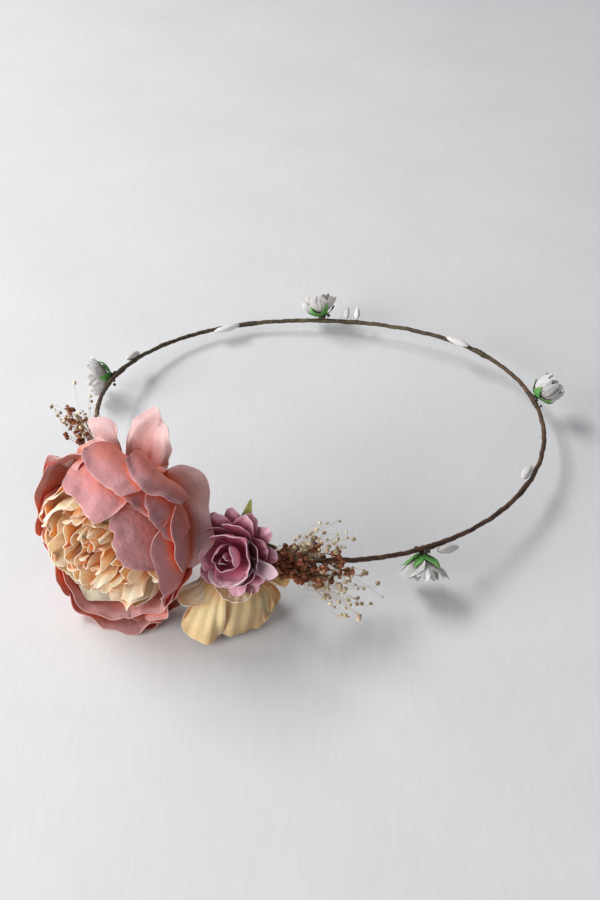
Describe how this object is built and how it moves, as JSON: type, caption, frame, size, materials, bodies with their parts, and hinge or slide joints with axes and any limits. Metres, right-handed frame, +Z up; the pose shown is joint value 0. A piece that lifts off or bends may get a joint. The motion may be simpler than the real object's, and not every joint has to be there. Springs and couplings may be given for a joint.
{
  "type": "flower crown",
  "caption": "Wire hoop wrapped in floral tape, worn on the head, with an artificial peony, rose and blossom, dried sprigs, and small paper flowers and buds around it.",
  "frame": {"origin": "centre of the bounding box's base, on the table the crown lies on", "axes": "+Z up from the table; -Y towards the side that carries the peony and the rose, the crown's front; +X to the right as seen from the front, with the peony on the -X side"},
  "size_m": [0.2042, 0.2132, 0.0697],
  "materials": {
    "wire": "drawn florist's wire, hidden under the tape",
    "tape": "dark brown crepe floral tape, waxy, wound in overlapping turns",
    "silk_pink": "pressed silk cloth, dusty pink with coral folds and pale edges",
    "silk_cream": "pressed silk cloth, cream with peach depths",
    "leaf_green": "pressed cloth leaf, olive green with veins",
    "stem_green": "thin green stem",
    "paper_mauve": "matt mauve paper with pale cut edges",
    "silk_butter": "pressed silk cloth, butter cream with pressed veins",
    "sepal_green": "bright green paper",
    "paper_white": "matt white paper",
    "dried_brown": "dried plant, rough, red-brown",
    "dried_straw": "dried plant, pale straw"
  },
  "bodies": {
    "root": {"hoop_wire": "wire", "tape_length_1": "tape", "tape_length_2": "tape", "tape_length_3": "tape", "main_binding": "tape", "rose_binding": "tape", "sprig_binding_right": "tape", "front_flower_binding": "tape", "side_bud_binding": "tape", "side_flower_binding": "tape", "rear_bud_binding": "tape", "back_flower_binding": "tape", "back_buds_binding": "tape", "left_bud_binding": "tape", "left_flower_binding": "tape", "sprig_binding_left": "tape", "peony_back_petals": "silk_pink", "peony_outer_petals": "silk_pink", "peony_middle_petals": "silk_pink", "peony_inner_petals": "silk_pink", "peony_cream_outer_petals": "silk_cream", "peony_cream_middle_petals": "silk_cream", "peony_cream_inner_petals": "silk_cream", "peony_heart": "silk_cream", "peony_calyx": "leaf_green", "rose_leaves": "leaf_green", "blossom_calyx": "leaf_green", "peony_stem": "stem_green", "rose_stem": "stem_green", "blossom_stem": "stem_green", "front_flower_stem": "stem_green", "side_flower_stem": "stem_green", "back_flower_stem": "stem_green", "left_flower_stem": "stem_green", "rose_outer_petals": "paper_mauve", "rose_second_petals": "paper_mauve", "rose_cup_petals": "paper_mauve", "rose_heart": "paper_mauve", "blossom_petals": "silk_butter", "blossom_heart": "silk_butter", "front_flower_sepals": "sepal_green", "side_flower_sepals": "sepal_green", "back_flower_sepals": "sepal_green", "left_flower_sepals": "sepal_green", "front_flower_petals": "paper_white", "side_flower_petals": "paper_white", "back_flower_petals": "paper_white", "left_flower_petals": "paper_white", "front_bud": "paper_white", "side_bud": "paper_white", "rear_bud": "paper_white", "left_bud": "paper_white", "corner_bud": "paper_white", "back_bud_a": "paper_white", "back_bud_b": "paper_white", "brown_sprig_right": "dried_brown", "brown_sprig_left": "dried_brown", "gypsophila_right_upper": "dried_straw", "gypsophila_right_lower": "dried_straw", "gypsophila_left": "dried_straw"}
  },
  "joints": []
}
